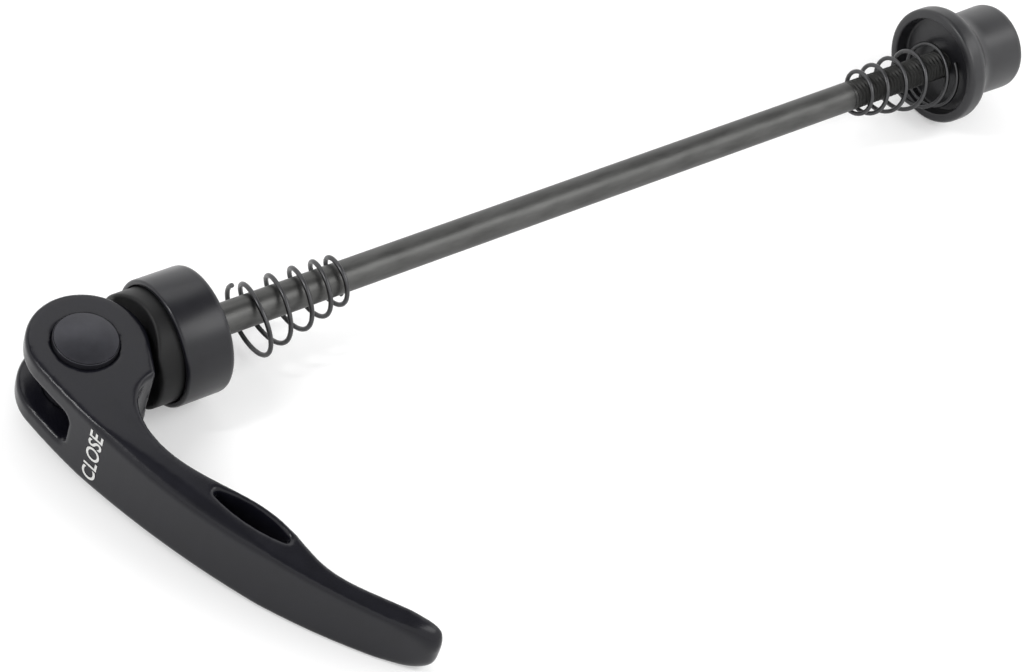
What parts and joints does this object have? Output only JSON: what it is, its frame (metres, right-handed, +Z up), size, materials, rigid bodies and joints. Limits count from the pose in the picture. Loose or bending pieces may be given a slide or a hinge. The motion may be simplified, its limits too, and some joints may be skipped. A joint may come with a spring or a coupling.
{
  "type": "quick release skewer",
  "caption": "Bicycle quick release skewer: a slim rod with a forked cam lever and cup at one end, a waisted adjusting nut at the other, and a conical spring beside each.",
  "frame": {"origin": "centre of the cup's clamping face, on the axis of the rod", "axes": "+X along the rod from the cup to the adjusting nut, +Z up, lever handle towards -Y; the skewer lies on a surface on its cup, flange and handle tip"},
  "size_m": [0.1932, 0.0732, 0.0204],
  "materials": {
    "lever_black": "satin black anodised",
    "barrel_steel": "dark matte plated",
    "rod_steel": "phosphated, semi-matte",
    "saddle_nylon": "matte moulded nylon",
    "cup_black": "satin black anodised",
    "spring_steel": "dark drawn wire",
    "nut_black": "satin black anodised",
    "lock_nylon": "matte nylon"
  },
  "bodies": {
    "skewer": {"skewer_rod": "rod_steel", "pivot_barrel": "barrel_steel"},
    "lever": {"lever": "lever_black"},
    "cup": {"lever_cup": "cup_black", "cam_saddle": "saddle_nylon", "lever_spring": "spring_steel"},
    "nut_spring": {"nut_spring": "spring_steel"},
    "nut": {"adjusting_nut": "nut_black", "nut_lock_ring": "lock_nylon"}
  },
  "joints": [
    {"name": "lever_hinge", "type": "hinge", "parent": "skewer", "child": "lever", "pos_m": [-0.0203, 0, 0], "axis": [0, 0.0929, -0.9957], "range_deg": [0, 150]},
    {"name": "cup_slide", "type": "slide", "parent": "skewer", "child": "cup", "axis": [-1, 0, 0], "range_m": [0, 0.00081]},
    {"name": "nut_travel", "type": "slide", "parent": "skewer", "child": "nut_spring", "axis": [1, 0, 0], "range_m": [-0.0161, 0.0041]},
    {"name": "nut_turn", "type": "hinge", "parent": "nut_spring", "child": "nut", "pos_m": [0.158, 0, 0], "axis": [1, 0, 0], "range_deg": [-7200, 1800]}
  ],
  "couplings": [
    {"joint": "cup_slide", "follows": "lever_hinge", "m_per_rad": 0.0003056},
    {"joint": "nut_travel", "follows": "nut_turn", "m_per_rad": 0.00012732}
  ]
}
